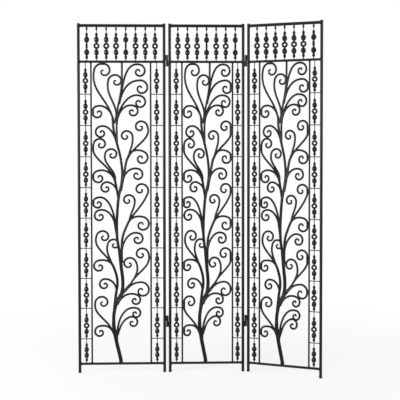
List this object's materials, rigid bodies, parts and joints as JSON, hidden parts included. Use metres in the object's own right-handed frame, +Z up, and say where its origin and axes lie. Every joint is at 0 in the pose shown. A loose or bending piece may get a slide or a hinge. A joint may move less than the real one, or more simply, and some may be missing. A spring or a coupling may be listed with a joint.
{
  "type": "folding screen",
  "caption": "Three-panel folding room divider of black steel tube with beaded spindles, beaded side drops and scrolled tree work, on lift-off pin hinges.",
  "frame": {"origin": "centre of the standing screen's footprint, on the floor", "axes": "+Z up, +X to the right along the middle panel as seen from the front, +Y towards the back"},
  "size_m": [1.2632, 0.166, 1.829],
  "materials": {
    "powder_coated_steel": "satin black powder coat",
    "foot_cap_plastic": "matt black"
  },
  "bodies": {
    "middle_panel": {"middle_left_stile": "powder_coated_steel", "middle_right_stile": "powder_coated_steel", "middle_top_rail": "powder_coated_steel", "middle_frieze_rail": "powder_coated_steel", "middle_bottom_rail": "powder_coated_steel", "middle_left_foot": "foot_cap_plastic", "middle_right_foot": "foot_cap_plastic", "middle_left_side_ladder": "powder_coated_steel", "middle_right_side_ladder": "powder_coated_steel", "middle_scroll_tree": "powder_coated_steel", "middle_spindle_1": "powder_coated_steel", "middle_spindle_2": "powder_coated_steel", "middle_spindle_3": "powder_coated_steel", "middle_spindle_4": "powder_coated_steel", "middle_spindle_5": "powder_coated_steel", "middle_spindle_6": "powder_coated_steel", "middle_spindle_7": "powder_coated_steel", "left_hinge_top_pin": "powder_coated_steel", "left_hinge_bottom_pin": "powder_coated_steel", "right_hinge_top_pin": "powder_coated_steel", "right_hinge_bottom_pin": "powder_coated_steel"},
    "left_panel": {"left_left_stile": "powder_coated_steel", "left_right_stile": "powder_coated_steel", "left_top_rail": "powder_coated_steel", "left_frieze_rail": "powder_coated_steel", "left_bottom_rail": "powder_coated_steel", "left_left_foot": "foot_cap_plastic", "left_right_foot": "foot_cap_plastic", "left_left_side_ladder": "powder_coated_steel", "left_right_side_ladder": "powder_coated_steel", "left_scroll_tree": "powder_coated_steel", "left_spindle_1": "powder_coated_steel", "left_spindle_2": "powder_coated_steel", "left_spindle_3": "powder_coated_steel", "left_spindle_4": "powder_coated_steel", "left_spindle_5": "powder_coated_steel", "left_spindle_6": "powder_coated_steel", "left_spindle_7": "powder_coated_steel", "left_spindle_8": "powder_coated_steel", "left_hinge_top_socket": "powder_coated_steel", "left_hinge_bottom_socket": "powder_coated_steel"},
    "right_panel": {"right_left_stile": "powder_coated_steel", "right_right_stile": "powder_coated_steel", "right_top_rail": "powder_coated_steel", "right_frieze_rail": "powder_coated_steel", "right_bottom_rail": "powder_coated_steel", "right_left_foot": "foot_cap_plastic", "right_right_foot": "foot_cap_plastic", "right_left_side_ladder": "powder_coated_steel", "right_right_side_ladder": "powder_coated_steel", "right_scroll_tree": "powder_coated_steel", "right_spindle_1": "powder_coated_steel", "right_spindle_2": "powder_coated_steel", "right_spindle_3": "powder_coated_steel", "right_spindle_4": "powder_coated_steel", "right_spindle_5": "powder_coated_steel", "right_spindle_6": "powder_coated_steel", "right_spindle_7": "powder_coated_steel", "right_hinge_top_socket": "powder_coated_steel", "right_hinge_bottom_socket": "powder_coated_steel"}
  },
  "joints": [
    {"name": "left_panel_fold", "type": "hinge", "parent": "middle_panel", "child": "left_panel", "pos_m": [-0.16361, 0.06645, 0.9525], "axis": [0, 0, 1], "range_deg": [-100, 100]},
    {"name": "right_panel_fold", "type": "hinge", "parent": "middle_panel", "child": "right_panel", "pos_m": [0.24939, 0.06645, 0.9525], "axis": [0, 0, 1], "range_deg": [-79.4, 120.6]}
  ]
}
